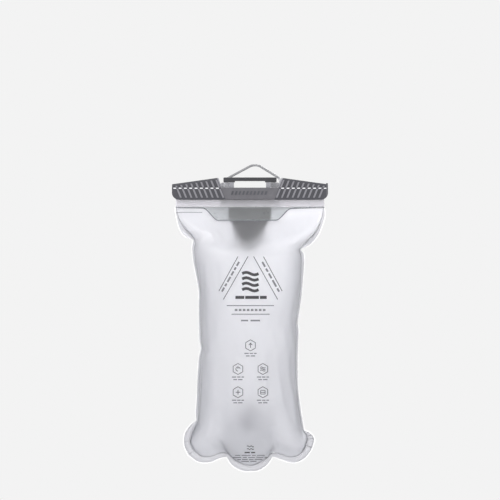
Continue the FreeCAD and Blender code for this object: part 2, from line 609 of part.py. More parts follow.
def port_body():
    body = rod_y(PORT_RADIUS, FLANGE_OUT_Y, MOUTH_Y)
    rims = [e for e in body.Edges if abs(e.CenterOfMass.y - MOUTH_Y) < 0.1 and len(e.Vertexes) == 1]
    body = body.makeFillet(BUTTON_ROUND, rims)
    body = body.fuse(rod_y(SPIGOT_RADIUS, SPIGOT_IN_Y, FLANGE_OUT_Y + OVER))
    latch_half = LATCH / 2 + LATCH_GAP
    button_half = BUTTON_LENGTH / 2 + BUTTON_GAP
    cavity_low = PORT_Z + LATCH_TOP - BUTTON_TRAVEL - BUTTON_GAP
    spring_pocket = Part.makeCylinder(
        BUTTON_SPRING_RADIUS + SPRING_GAP, LATCH_SLOT_FLOOR - LATCH_BOTTOM + BUTTON_TRAVEL,
        Vector(0, LATCH_Y, PORT_Z - LATCH_SLOT_FLOOR),
    )
    cuts = [
        rod_y(PORT_BORE, BORE_IN_Y, MOUTH_Y + OVER),
        rod_y(NOSE_POCKET_RADIUS, POCKET_IN_Y, BORE_IN_Y + OVER),
        rod_y(SEAT_RADIUS, SEAT_IN_Y - OVER, POCKET_IN_Y + OVER),
        rod_y(CHAMBER_RADIUS, SPIGOT_IN_Y - OVER, SEAT_IN_Y),
        oring_space(ORING_GAP),
        spring_pocket,
        box(
            -LATCH_HALF_WIDTH - LATCH_GAP, LATCH_HALF_WIDTH + LATCH_GAP, LATCH_Y - latch_half,
            LATCH_Y + latch_half, PORT_Z - LATCH_SLOT_FLOOR, PORT_Z + PORT_RADIUS + OVER,
        ),
        box(
            -BUTTON_HALF_WIDTH - BUTTON_GAP, BUTTON_HALF_WIDTH + BUTTON_GAP, LATCH_Y - button_half,
            LATCH_Y + button_half, cavity_low, PORT_Z + PORT_RADIUS + OVER,
        ),
    ]
    return body.cut(cuts)


def port_nut():
    """Six-sided nut that clamps the flange from inside the bag."""
    corners = [math.radians(360 / NUT_FLATS * i) for i in range(NUT_FLATS)]
    points = [(NUT_RADIUS * math.cos(a), PORT_Z + NUT_RADIUS * math.sin(a)) for a in corners]
    nut = prism_xz(points, FLANGE_IN_Y - NUT_HEIGHT, FLANGE_IN_Y)
    return nut.cut(rod_y(SPIGOT_RADIUS + NUT_GAP, FLANGE_IN_Y - NUT_HEIGHT - OVER, FLANGE_IN_Y + OVER))


def latch_plate():
    half = LATCH / 2
    plate = box(
        -LATCH_HALF_WIDTH, LATCH_HALF_WIDTH, LATCH_Y - half, LATCH_Y + half,
        PORT_Z - LATCH_BOTTOM, PORT_Z + LATCH_TOP,
    )
    radius = PORT_BORE + LATCH_HOLE_GAP
    hole = rod_y(radius, LATCH_Y - LATCH, LATCH_Y + LATCH)
    slot = rod_y(radius, LATCH_Y - LATCH, LATCH_Y + LATCH, z=PORT_Z + BUTTON_TRAVEL)
    gap = box(
        -radius, radius, LATCH_Y - LATCH, LATCH_Y + LATCH, PORT_Z, PORT_Z + BUTTON_TRAVEL,
    )
    return plate.cut([hole, slot, gap])


def release_button():
    half = BUTTON_LENGTH / 2
    z0 = PORT_Z + LATCH_TOP
    button = box(
        -BUTTON_HALF_WIDTH, BUTTON_HALF_WIDTH, LATCH_Y - half, LATCH_Y + half, z0, z0 + BUTTON_HEIGHT,
    )
    top = [e for e in button.Edges if e.CenterOfMass.z > z0 + 0.1]
    return button.makeFillet(BUTTON_ROUND, top)


def coil(radius, length, turns, origin, axis):
    """Helical spring with its first and last turns left open."""
    pitch = (length - 2 * SPRING_WIRE) / turns
    helix = Part.makeHelix(pitch, pitch * turns, radius)
    start = Part.Wire(Part.makeCircle(SPRING_WIRE, Vector(radius, 0, 0), Vector(0, 1, 0)))
    spring = Part.Wire(helix.Edges).makePipeShell([start], True, True)
    spring.translate(Vector(0, 0, SPRING_WIRE))
    turn = FreeCAD.Rotation(Vector(0, 0, 1), axis)
    spring.Placement = FreeCAD.Placement(origin, turn).multiply(spring.Placement)
    return spring


def button_spring():
    origin = Vector(0, LATCH_Y, PORT_Z - LATCH_SLOT_FLOOR + SPRING_GAP)
    radius = BUTTON_SPRING_RADIUS - SPRING_WIRE
    return coil(radius, BUTTON_SPRING_LENGTH, BUTTON_SPRING_TURNS, origin, Vector(0, 0, 1))


def valve_poppet():
    disc = rod_y(POPPET_RADIUS, POPPET_IN_Y, SEAL_IN_Y)
    stem = rod_y(STEM_RADIUS, SEAL_IN_Y - OVER, POCKET_IN_Y + STEM_REACH)
    guide = rod_y(GUIDE_RADIUS, SPIGOT_IN_Y + GUIDE_INSET, POPPET_IN_Y + OVER)
    return disc.fuse([stem, guide])


def valve_seal():
    ring = rod_y(POPPET_RADIUS, SEAL_IN_Y, SEAL_IN_Y + SEAL)
    return ring.cut(rod_y(STEM_RADIUS + SEAL_GAP, SEAL_IN_Y - OVER, SEAL_IN_Y + SEAL + OVER))


def valve_cage():
    disc = rod_y(CHAMBER_RADIUS - CAGE_GAP, CAGE_OUT_Y - CAGE, CAGE_OUT_Y)
    cuts = [rod_y(GUIDE_RADIUS + GUIDE_GAP, CAGE_OUT_Y - CAGE - OVER, CAGE_OUT_Y + OVER)]
    for i in range(CAGE_HOLES):
        a = math.radians(360 / CAGE_HOLES * i)
        x, z = CAGE_HOLE_CIRCLE * math.cos(a), PORT_Z + CAGE_HOLE_CIRCLE * math.sin(a)
        cuts.append(rod_y(CAGE_HOLE, CAGE_OUT_Y - CAGE - OVER, CAGE_OUT_Y + OVER, x=x, z=z))
    return disc.cut(cuts)


def valve_spring():
    length = POPPET_IN_Y - CAGE_OUT_Y - 2 * SPRING_GAP
    origin = Vector(0, CAGE_OUT_Y + SPRING_GAP, PORT_Z)
    return coil(VALVE_SPRING_RADIUS, length, VALVE_SPRING_TURNS, origin, Vector(0, 1, 0))


def back_panel():
    """Rear panel with the round hole that the port flange is welded into."""
    return panel(1).cut(rod_y(FLANGE_RADIUS, 0.0, BIG))


os.makedirs("parts", exist_ok=True)
slider_outside = slider_solid()
save("front_panel", panel(-1))
save("back_panel", back_panel())
save("mouth_collar_front", collar(-1))
save("mouth_collar_rear", collar(1))
save("mouth_rail_front", front_rail())
save("mouth_rail_rear", rear_rail())
save("hang_patch", hang_patch())
save("hang_loop", hang_loop())
save("slider_channel", slider_channel(slider_outside))
save("slider_end_cap", slider_end_cap(slider_outside))
save("cleat_bar", cleat_bar())
save("port_flange", port_flange())
save("port_body", port_body())
save("port_nut", port_nut())
save("plug_seal", oring_space(0.0))
save("latch_plate", latch_plate())
save("release_button", release_button())
save("button_spring", button_spring())
save("valve_poppet", valve_poppet())
save("valve_seal", valve_seal())
save("valve_spring", valve_spring())
save("valve_cage", valve_cage())
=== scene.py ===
import json
import math

import bmesh
import bpy
import numpy as np
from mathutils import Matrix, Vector
from mathutils.bvhtree import BVHTree


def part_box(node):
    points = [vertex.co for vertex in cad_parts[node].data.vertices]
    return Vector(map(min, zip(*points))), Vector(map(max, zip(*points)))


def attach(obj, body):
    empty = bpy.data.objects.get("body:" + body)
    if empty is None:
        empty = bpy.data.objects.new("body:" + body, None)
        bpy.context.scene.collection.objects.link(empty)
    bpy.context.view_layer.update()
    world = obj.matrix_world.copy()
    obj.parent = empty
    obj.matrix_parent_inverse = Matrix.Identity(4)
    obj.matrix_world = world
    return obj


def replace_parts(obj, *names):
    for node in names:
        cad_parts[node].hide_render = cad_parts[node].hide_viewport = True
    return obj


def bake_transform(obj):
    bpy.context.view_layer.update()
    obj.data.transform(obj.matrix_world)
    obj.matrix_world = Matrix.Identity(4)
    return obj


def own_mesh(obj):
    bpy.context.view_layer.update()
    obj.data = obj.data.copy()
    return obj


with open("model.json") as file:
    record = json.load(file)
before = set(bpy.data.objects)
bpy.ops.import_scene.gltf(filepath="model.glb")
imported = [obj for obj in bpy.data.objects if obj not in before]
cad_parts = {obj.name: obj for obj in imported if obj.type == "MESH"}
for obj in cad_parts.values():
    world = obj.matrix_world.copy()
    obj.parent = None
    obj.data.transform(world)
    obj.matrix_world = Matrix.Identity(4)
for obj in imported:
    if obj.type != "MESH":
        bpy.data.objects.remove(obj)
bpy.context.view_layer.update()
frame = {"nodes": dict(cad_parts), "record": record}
NODES = frame["nodes"]
MM = 0.001

# --- the object's outline, in millimetres of the frame, seen from the front -------------------
# Outer edge of the weld. Each run is a smooth curve; neighbouring runs meet in a sharp notch.
LEFT_EAR = [(-89.5, -46), (-89.5, -54), (-85.5, -71.5), (-78.8, -82.3), (-68, -87.5)]
LEFT_SIDE = [
    (-68, -87.5), (-69.6, -96), (-68, -113), (-62.1, -146.6), (-61.5, -182), (-60.9, -206), (-59.2, -216),
    (-62.1, -232), (-64.2, -278), (-65.4, -292), (-64.4, -302),
]
LEFT_LOBE = [(-64.4, -302), (-72, -307.7), (-78.6, -318), (-79.4, -331.6), (-74, -344)]
LEFT_LOBE_FOOT = [(-74, -344), (-61.5, -352.4), (-48, -353), (-37, -348.6), (-28.6, -346.2)]
MIDDLE_LOBE = [
    (-28.6, -346.2), (-22, -356), (-11, -362.4), (0, -363.5), (12, -361.8), (22, -354.5), (27.5, -346),
]
RIGHT_LOBE_FOOT = [(27.5, -346), (36, -349.2), (51.3, -353.4), (65, -348.5), (74, -337.5)]
RIGHT_LOBE = [(65.6, -313.6), (72.8, -317.2), (77.6, -325), (74, -337.5)]
RIGHT_SIDE = [
    (60.9, -98.2), (65.2, -107), (63.3, -140.6), (60.5, -165), (57.4, -185), (58.5, -194), (57.9, -212),
    (57.3, -254), (59.7, -278), (64, -306), (65.6, -313.6),
]
RIGHT_EAR = [(88.8, -46), (90.1, -56), (88.3, -65.4), (82, -81), (72.8, -92), (60.9, -98.2)]

# Inner edge of the weld, where the two films part. The lists run the same ways.
SEAM_LEFT = [
    (-88, -48.1), (-85.5, -60), (-78, -73), (-69, -81.5), (-65.2, -88.5), (-66.2, -97), (-64.8, -113),
    (-59.4, -146), (-58.4, -182), (-57.9, -204), (-56.7, -216), (-59, -232), (-61, -278), (-61.6, -292),
    (-62.4, -303), (-68, -316), (-71, -328), (-67, -338.5),
]
SEAM_FOOT = [
    (-67, -338.5), (-58, -344.6), (-47, -345.4), (-37, -341.8), (-28, -340.4), (-18, -349.4), (0, -356.2),
    (18, -348.6), (27, -340.2), (36, -342.4), (49, -346.2), (60, -342.6), (67, -332),
]
SEAM_RIGHT = [
    (88, -48.1), (86.2, -60), (79, -77), (67, -89), (58.8, -98.5), (60.8, -108), (60.2, -140), (57.4, -165),
    (54.6, -186), (55, -210), (54.4, -250), (56.6, -278), (60.3, -300), (62.6, -312), (68.4, -321),
    (67, -332),
]

ROWS = 104                     # film mesh, mouth to foot
COLUMNS = 60                   # film mesh, seam to seam
WELD_HALF = 0.55 * MM          # half thickness of the flat weld
BEAD = 0.8 * MM                # radius of the bead along the weld's edge
FILM = 0.45 * MM
PRINT_STEP = 1.6               # longest side of a print ribbon's cells, in millimetres
PRINT_LIFT = 0.25 * MM
EYE_DISTANCE = 1.409           # distance and height the print is laid out from
EYE_Z = -0.0988
LOOP_Y = 6.3 * MM              # middle of the hang loop's thickness
HINGE_Z = -46.05 * MM          # line the loop flexes on
FINE_LINE = 0.8
WORD_GAP = 1.0                 # gap between bars that stand for words, in word units
SETTLE_FRAMES = 22
SETTLE_REACH = 5.0 * MM        # how far the film may move while it settles
PORT_SEAT = 1.6 * MM           # film below the outer face of the port's flange
PORT_BLEND = 14 * MM           # film that slopes to the flange
PORT_HOLE_MARGIN = 2.5 * MM    # flange that the rear film covers
REAR_START = 5 * MM            # film further back than this belongs to the rear panel only
RUFFLE = 0.9 * MM              # wave of the weld's edge
RUFFLE_PITCH = 9.5 * MM
RUFFLE_SWELL = 31 * MM
WELD_OVERLAP = 0.9 * MM        # weld under the film's edge
MOUTH_Z = -47.4                # top of the second film layer
PATCH_TOP = -47.6
PATCH_LENGTH = 48.4
PATCH_HALF = 25.5
PATCH_TAPER_Z = -61.0
PATCH_TAPER_HALF = 23.5
MARK_Z = -31.2                 # middle height of the slider's dashes
MARK_START = -22.6
MARK_COUNT = 10
MARK_PITCH = 4.4
MARK_HALF_HEIGHT = 2.2
MARK_WIDTH = 2.2
MARK_SLANT = 1.4
SLIDER_FACE_Y = -10.3 * MM
FOOT_SHADE = (-0.36, -0.24)    # heights between which the painted shade towards the foot fades out
# heights over which the painted side shade weakens towards the shoulders
SHOULDER_SHADE = (-0.118, -0.09)
LOOP_CLEAR_HEIGHTS = (-0.016, -0.011)


# --- small mesh helpers -----------------------------------------------------------------------

def smooth_run(points, count):
    """Count points, evenly spaced, on a smooth curve through the given points."""
    p = np.array(points, float)
    before, after = 2 * p[0] - p[1], 2 * p[-1] - p[-2]
    q = np.vstack([before, p, after])
    dense = []
    for i in range(1, len(q) - 2):
        t = np.linspace(0, 1, 24, endpoint=False)[:, None]
        a, b, c, d = q[i - 1], q[i], q[i + 1], q[i + 2]
        square = (2 * a - 5 * b + 4 * c - d) * t ** 2
        cube = (3 * b - a - 3 * c + d) * t ** 3
        dense.append(0.5 * (2 * b + (c - a) * t + square + cube))
    dense = np.vstack(dense + [p[-1:]])
    step = np.r_[0, np.cumsum(np.linalg.norm(np.diff(dense, axis=0), axis=1))]
    even = np.linspace(0, step[-1], count)
    return np.column_stack([np.interp(even, step, dense[:, k]) for k in range(dense.shape[1])])


def chain(runs, count=60):
    """Several runs end to end, without repeated points."""
    parts = [smooth_run(r, count) for r in runs]
    return np.vstack([parts[0]] + [p[1:] for p in parts[1:]])


def new_mesh(name, verts, faces, smooth=True):
    mesh = bpy.data.meshes.new(name)
    mesh.from_pydata([tuple(v) for v in verts], [], faces)
    mesh.update()
    if smooth:
        mesh.shade_smooth()
    obj = bpy.data.objects.new(name, mesh)
    bpy.context.scene.collection.objects.link(obj)
    return obj


def apply_modifiers(obj):
    depsgraph = bpy.context.evaluated_depsgraph_get()
    mesh = bpy.data.meshes.new_from_object(obj.evaluated_get(depsgraph))
    obj.modifiers.clear()
    obj.data = mesh
    return obj


def grid_faces(rows, columns):
    faces = []
    for i in range(rows - 1):
        for j in range(columns - 1):
            a = i * columns + j
            faces.append((a, a + 1, a + columns + 1, a + columns))
    return faces


def surface_of(obj):
    """A ray target made of the object's final mesh."""
    depsgraph = bpy.context.evaluated_depsgraph_get()
    return BVHTree.FromObject(obj, depsgraph)


# --- materials --------------------------------------------------------------------------------

def srgb(r, g, b):
    def one(c):
        c = c / 255
        return c / 12.92 if c <= 0.04045 else ((c + 0.055) / 1.055) ** 2.4
    return (one(r), one(g), one(b), 1.0)


def plain_material(name, color, roughness, **sockets):
    mat = bpy.data.materials.new(name)
    mat.use_nodes = True
    shader = mat.node_tree.nodes["Principled BSDF"]
    shader.inputs["Base Color"].default_value = color
    shader.inputs["Roughness"].default_value = roughness
    for key, value in sockets.items():
        shader.inputs[key.replace("_", " ")].default_value = value
    return mat, mat.node_tree.nodes, mat.node_tree.links, shader


def noise(nodes, links, scale, detail=3.0, stretch=None):
    """A noise texture in the object's own coordinates, with an optional stretch of its axes."""
    coord = nodes.new("ShaderNodeTexCoord")
    texture = nodes.new("ShaderNodeTexNoise")
    texture.inputs["Scale"].default_value = scale
    texture.inputs["Detail"].default_value = detail
    if stretch:
        mapping = nodes.new("ShaderNodeMapping")
        mapping.inputs["Scale"].default_value = stretch
        links.new(coord.outputs["Object"], mapping.inputs["Vector"])
        links.new(mapping.outputs["Vector"], texture.inputs["Vector"])
    else:
        links.new(coord.outputs["Object"], texture.inputs["Vector"])
    return texture.outputs["Fac"]


def ramp(nodes, links, factor, low, high, stops=(0.3, 0.7)):
    node = nodes.new("ShaderNodeMapRange")
    node.inputs["From Min"].default_value, node.inputs["From Max"].default_value = stops
    node.inputs["To Min"].default_value, node.inputs["To Max"].default_value = low, high
    links.new(factor, node.inputs["Value"])
    return node.outputs["Result"]


def vary_roughness(nodes, links, shader, scale, detail, low, high, stretch=None):
    """Roughness that wanders between two values with a noise of the given scale."""
    wander = ramp(nodes, links, noise(nodes, links, scale, detail, stretch), low, high)
    links.new(wander, shader.inputs["Roughness"])


def speckle(nodes, links, scale, detail):
    """Noise spread over the whole range from 0 to 1."""
    return ramp(nodes, links, noise(nodes, links, scale, detail), 0, 1)


def mix_colors(nodes, links, factor, a, b):
    node = nodes.new("ShaderNodeMix")
    node.data_type = "RGBA"
    for socket, value in ((node.inputs["A"], a), (node.inputs["B"], b)):
        if isinstance(value, tuple):
            socket.default_value = value
        else:
            links.new(value, socket)
    links.new(factor, node.inputs["Factor"])
    return node.outputs["Result"]


def bump(nodes, links, height, strength, distance, shader):
    node = nodes.new("ShaderNodeBump")
    node.inputs["Strength"].default_value = strength
    node.inputs["Distance"].default_value = distance
    links.new(height, node.inputs["Height"])
    links.new(node.outputs["Normal"], shader.inputs["Normal"])


def number(nodes, links, operation, a, b=0.0):
    """A Math node on sockets or plain numbers."""
    node = nodes.new("ShaderNodeMath")
    node.operation = operation
    for socket, value in zip(node.inputs, (a, b)):
        if isinstance(value, float):
            socket.default_value = value
        else:
            links.new(value, socket)
    return node.outputs["Value"]


def object_axes(nodes, links, kind="Object"):
    """X, Y and Z of the object's own coordinates or of its surface direction."""
    coord = nodes.new("ShaderNodeTexCoord")
    split = nodes.new("ShaderNodeSeparateXYZ")
    links.new(coord.outputs[kind], split.inputs["Vector"])
    return split.outputs["X"], split.outputs["Y"], split.outputs["Z"]


def painted_side_shade_share(nodes, links):
    """Share of painted side shade: 0 where the film faces front or back, 1 where it has curved round to the
    side.
    """
    _, facing, _ = object_axes(nodes, links, "Normal")
    return ramp(nodes, links, number(nodes, links, "ABSOLUTE", facing), 0.85, 0.0, (0.3, 1.0))


def film_material(name, color, painted_shade_color, roughness, transmission, ripple):
    """Frosted TPU film: soft see-through, painted shade where it curves round to the side and towards the
    foot, faint orange peel.
    """
    mat, nodes, links, shader = plain_material(
        name, color, roughness, Transmission_Weight=transmission, IOR=1.38, Specular_IOR_Level=0.5,
        Coat_Weight=0.3, Coat_Roughness=0.22,
    )
    cloud = ramp(nodes, links, noise(nodes, links, 26, 4), -0.08, 0.08)
    _, _, z = object_axes(nodes, links)
    # Painted shade, darker towards the foot.
    low = ramp(nodes, links, z, 0.2, 0.0, FOOT_SHADE)
    # Painted shade where the film curves round to the side, weaker towards the shoulders.
    below_shoulders = ramp(nodes, links, z, 1.0, 0.3, SHOULDER_SHADE)
    curved = number(nodes, links, "MULTIPLY", painted_side_shade_share(nodes, links), below_shoulders)
    # Share of the painted shade colour, with a random cloud of tone on top.
    share = number(nodes, links, "ADD", number(nodes, links, "ADD", curved, low), cloud)
    links.new(mix_colors(nodes, links, share, color, painted_shade_color), shader.inputs["Base Color"])
    vary_roughness(nodes, links, shader, 60, 3, roughness - 0.05, roughness + 0.06)
    bump(nodes, links, noise(nodes, links, 420, 3, stretch=(1, 1, 0.35)), ripple, 0.0004, shader)
    return mat


def moulded_material(name, color, roughness, grain=1400, strength=0.25):
    """Spark-textured moulding with slightly worn, paler patches."""
    mat, nodes, links, shader = plain_material(name, color, roughness)
    worn = tuple(min(1.0, c * 1.18) for c in color[:3]) + (1,)
    dark = tuple(c * 0.88 for c in color[:3]) + (1,)
    patches = speckle(nodes, links, 70, 6)
    links.new(mix_colors(nodes, links, patches, dark, worn), shader.inputs["Base Color"])
    vary_roughness(nodes, links, shader, 240, 4, roughness - 0.08, roughness + 0.1)
    bump(nodes, links, noise(nodes, links, grain, 2), strength, 0.00012, shader)
    return mat


def ink_material(name, color):
    """Screen-printed ink, a little uneven where the film stretches."""
    mat, nodes, links, shader = plain_material(name, color, 0.55)
    pale = tuple(min(1.0, c + 0.035) for c in color[:3]) + (1,)
    patches = speckle(nodes, links, 900, 4)
    links.new(mix_colors(nodes, links, patches, color, pale), shader.inputs["Base Color"])
    return mat


def steel_material():
    mat, nodes, links, shader = plain_material("spring_steel", srgb(178, 178, 180), 0.3, Metallic=1.0)
    vary_roughness(nodes, links, shader, 800, 2, 0.22, 0.42, stretch=(1, 1, 8))
    return mat


def slider_material():
    """Ribbed grey moulding: painted shade darkens the recessed floors, painted light makes the rib tops
    paler, and a painted highlight runs along the step's edge.
    """
    mat, nodes, links, shader = plain_material("slider_grey", SLIDER_COLOR, 0.42)
    x, y, z = object_axes(nodes, links)
    depth = number(nodes, links, "ABSOLUTE", number(nodes, links, "SUBTRACT", y, SLIDER_MID_Y))
    on_wing = number(nodes, links, "GREATER_THAN", z, SLIDER_STEP_Z)
    setback = number(nodes, links, "MULTIPLY", on_wing, WING_SETBACK)
    floor = number(nodes, links, "SUBTRACT", CHANNEL_HALF_DEPTH, setback)
    proud = number(nodes, links, "SUBTRACT", depth, floor)
    on_rib = ramp(nodes, links, proud, 0.0, 1.0, (0.2 * MM, 0.8 * MM))
    lean = number(nodes, links, "MULTIPLY", number(nodes, links, "SUBTRACT", z, SLIDER_BOTTOM_Z), RIB_LEAN)
    away = number(nodes, links, "SUBTRACT", number(nodes, links, "ABSOLUTE", x), lean)
    ribbed = ramp(nodes, links, away, 0.0, 1.0, (RIBS_START_X, RIBS_START_X + 0.5 * MM))
    above_line = number(nodes, links, "SUBTRACT", z, SLIDER_STEP_Z - GLINT_DROP)
    from_line = number(nodes, links, "ABSOLUTE", above_line)
    on_line = number(nodes, links, "LESS_THAN", from_line, GLINT_HALF)
    on_edge = number(nodes, links, "GREATER_THAN", depth, CHANNEL_HALF_DEPTH - GLINT_DEPTH)
    on_step = number(nodes, links, "MULTIPLY", on_line, on_edge)
    along = number(nodes, links, "MODULO", number(nodes, links, "SUBTRACT", away, RIBS_START_X), RIB_PITCH)
    between = number(nodes, links, "GREATER_THAN", along, RIB_GAP_START)
    glint = number(nodes, links, "MULTIPLY", number(nodes, links, "MULTIPLY", on_step, between), ribbed)
    # Painted shade on the recessed floors between ribs, painted light on the rib tops.
    painted_rib_light_and_shade = mix_colors(nodes, links, on_rib, srgb(66, 66, 72), srgb(122, 121, 127))
    patches = speckle(nodes, links, 160, 5)
    grain = mix_colors(nodes, links, patches, SLIDER_COLOR, srgb(98, 97, 102))
    inside = number(nodes, links, "SUBTRACT", 1.0, ribbed)
    on_post = number(nodes, links, "MULTIPLY", on_wing, inside)
    plain = mix_colors(nodes, links, on_post, grain, srgb(142, 142, 148))
    face = mix_colors(nodes, links, ribbed, plain, painted_rib_light_and_shade)
    # Painted highlight: a pale dashed line along the step's edge between the ribs.
    links.new(mix_colors(nodes, links, glint, face, srgb(232, 232, 236)), shader.inputs["Base Color"])
    vary_roughness(nodes, links, shader, 240, 4, 0.34, 0.52)
    bump(nodes, links, noise(nodes, links, 1400, 2), 0.25, 0.00012, shader)
    return mat


def loop_material():
    """Clear moulding that thickens into a smoky grey rod above the shoulders."""
    mat, nodes, links, shader = plain_material(
        "loop_smoky", srgb(240, 240, 244), 0.22, Transmission_Weight=0.3, IOR=1.45,
    )
    _, _, z = object_axes(nodes, links)
    rod = ramp(nodes, links, z, 0.0, 1.0, LOOP_CLEAR_HEIGHTS)
    grain = speckle(nodes, links, 300, 3)
    clear = mix_colors(nodes, links, grain, srgb(236, 236, 240), srgb(224, 224, 229))
    smoky = mix_colors(nodes, links, grain, srgb(168, 168, 171), srgb(150, 150, 154))
    links.new(mix_colors(nodes, links, rod, clear, smoky), shader.inputs["Base Color"])
    vary_roughness(nodes, links, shader, 500, 3, 0.16, 0.3)
    return mat


SLIDER_COLOR = srgb(90, 89, 94)
SLIDER_MID_Y = -3.5 * MM       # middle plane of the slider's thickness
CHANNEL_HALF_DEPTH = 6.8 * MM
WING_SETBACK = 2.0 * MM
SLIDER_STEP_Z = -24.8 * MM
SLIDER_BOTTOM_Z = -39.0 * MM
RIB_LEAN = math.tan(math.radians(22.0))
RIBS_START_X = 28.7 * MM
RIB_PITCH = 6.3 * MM
RIB_GAP_START = 3.0 * MM       # from a rib's edge to the bright part between two ribs
GLINT_DROP = 0.55 * MM         # painted highlight along the edge of the slider's step: place, half height, depth
GLINT_HALF = 0.85 * MM
GLINT_DEPTH = 0.5 * MM

# In each film material the second colour is the painted shade, used where the film curves round and towards
# the foot.
MATERIALS = {
    "film": film_material("film_frosted", srgb(245, 245, 248), srgb(219, 220, 225), 0.5, 0.96, 0.3),
    "collar": film_material("collar_clear", srgb(250, 249, 253), srgb(232, 232, 237), 0.2, 0.7, 0.1),
    "apron": film_material("apron_film", srgb(205, 208, 209), srgb(196, 199, 200), 0.3, 0.88, 0.1),
    "weld": film_material("weld_flat", srgb(220, 220, 225), srgb(208, 208, 213), 0.35, 0.5, 0.1),
    # Near-white bead: a rounded weld edge whose colour is a painted highlight along the rim.
    "bead": moulded_material("weld_bead_painted_highlight", srgb(253, 253, 254), 0.25, strength=0.05),
    "line": moulded_material("weld_line", srgb(120, 123, 128), 0.35, strength=0.05),
    "rail": moulded_material("natural_plastic", srgb(205, 205, 210), 0.4, strength=0.1),
    "patch": moulded_material("dark_patch", srgb(14, 18, 20), 0.5, grain=900),
    "loop": loop_material(),
    "slider": slider_material(),
    "slider_cap": moulded_material("slider_cap_grey", srgb(84, 84, 88), 0.42),
    "cleat": moulded_material("cleat_charcoal", srgb(50, 50, 54), 0.38),
    "port": moulded_material("port_grey", srgb(98, 100, 104), 0.4),
    "button": moulded_material("button_charcoal", srgb(54, 54, 58), 0.36),
    "seal": moulded_material("silicone_black", srgb(26, 26, 27), 0.5, grain=700, strength=0.1),
    "spring": steel_material(),
    "ink": ink_material("print_ink", srgb(36, 36, 40)),
    "ink_grey": ink_material("print_ink_grey", srgb(112, 112, 117)),
    "mark": moulded_material("slider_mark", srgb(72, 72, 78), 0.35),
}


def paint_cad_nodes():
    """Gives every CAD node the material of its slot."""
    slots = {s["node"]: s["material_slot"] for s in frame["record"]["subparts"]}
    for name, obj in NODES.items():
        obj.data.materials.clear()
        obj.data.materials.append(MATERIALS[slots[name]])


# --- bag film ---------------------------------------------------------------------------------

def trunk_depth(z):
    """Half depth of the CAD bag on its middle line at a height, in metres."""
    hit = CAD_FRONT.ray_cast(Vector((0, 0.2, z)), Vector((0, -1, 0)))
    low = hit[0].y if hit[0] is not None else 0.0
    return max(0.0, -low)


def film_rest():
    """Grid of the front film, mouth to foot and seam to seam: inflated places and flat cut."""
    left = chain([SEAM_LEFT], 400) * MM
    right = chain([SEAM_RIGHT], 400) * MM
    foot = smooth_run(SEAM_FOOT, 600) * MM
    v = np.linspace(0, 1, ROWS)
    u = np.linspace(0, 1, COLUMNS)
    z_left = left[0, 1] + v * (left[-1, 1] - left[0, 1])
    z_right = right[0, 1] + v * (right[-1, 1] - right[0, 1])
    x_left = np.interp(-z_left, -left[:, 1], left[:, 0])
    x_right = np.interp(-z_right, -right[:, 1], right[:, 0])
    share = (1 - np.cos(np.pi * u)) / 2
    flatness = np.clip((v - 0.06) / 0.2, 0, 1)[:, None]
    across = share[None, :] * flatness + u[None, :] * (1 - flatness)
    foot_flat = np.clip((1 - v) / 0.07, 0, 1)[:, None]
    across = across * foot_flat + (0.5 * u + 0.5 * share)[None, :] * (1 - foot_flat)
    x = x_left[:, None] + across * (x_right - x_left)[:, None]
    z = z_left[:, None] + across * (z_right - z_left)[:, None]
    foot_x = x[-1]
    foot_z = np.interp(foot_x, foot[:, 0], foot[:, 1])
    drop = foot_z - z[-1]
    z = z + (v ** 2.2)[:, None] * drop[None, :]
    x[-1], z[-1] = foot_x, foot_z
    middle = z[:, COLUMNS // 2]
    depth = np.array([trunk_depth(m) for m in middle])
    depth[0] = 0.0012
    depth[-1] = 0.0
    mid_x = (x_left + x_right) / 2
    half = (x_right - x_left) / 2
    side = np.clip(1 - ((x - mid_x[:, None]) / half[:, None]) ** 2, 0, 1)
    y = -depth[:, None] * side ** 0.5
    inflated = np.dstack([x, y, z])
    row_length = np.linalg.norm(np.diff(inflated, axis=1), axis=2)
    run = np.concatenate([np.zeros((ROWS, 1)), np.cumsum(row_length, axis=1)], axis=1)
    flat_x = run - run[:, -1:] / 2
    down = np.linalg.norm(np.diff(inflated[:, COLUMNS // 2], axis=0), axis=1)
    flat_z = np.r_[0, np.cumsum(down)]
    flat_z = inflated[0, 0, 2] - flat_z
    cut = np.dstack([flat_x, np.zeros_like(flat_x), np.repeat(flat_z[:, None], COLUMNS, axis=1)])
    cut[:, :, 2] += (z - z[:, COLUMNS // 2][:, None]) * np.clip((v - 0.8) / 0.2, 0, 1)[:, None]
    return inflated, cut


def film_pair():
    """Both films as one closed-sided mesh: front grid, then rear grid sharing the seam."""
    inflated, cut = film_rest()
    front = inflated.reshape(-1, 3)
    index = np.arange(ROWS * COLUMNS).reshape(ROWS, COLUMNS)
    rear_index = index.copy()
    inner = np.zeros((ROWS, COLUMNS), bool)
    inner[:-1, 1:-1] = True
    rear_index[inner] = ROWS * COLUMNS + np.arange(inner.sum())
    rear = inflated[inner] * (1, -1, 1)
    verts = np.vstack([front, rear])
    flat = np.vstack([cut.reshape(-1, 3), cut[inner]])
    faces = grid_faces(ROWS, COLUMNS)
    for i in range(ROWS - 1):
        for j in range(COLUMNS - 1):
            a, b = rear_index[i, j], rear_index[i, j + 1]
            c, d = rear_index[i + 1, j + 1], rear_index[i + 1, j]
            faces.append((int(d), int(c), int(b), int(a)))
    return verts, flat, faces, index, rear_index


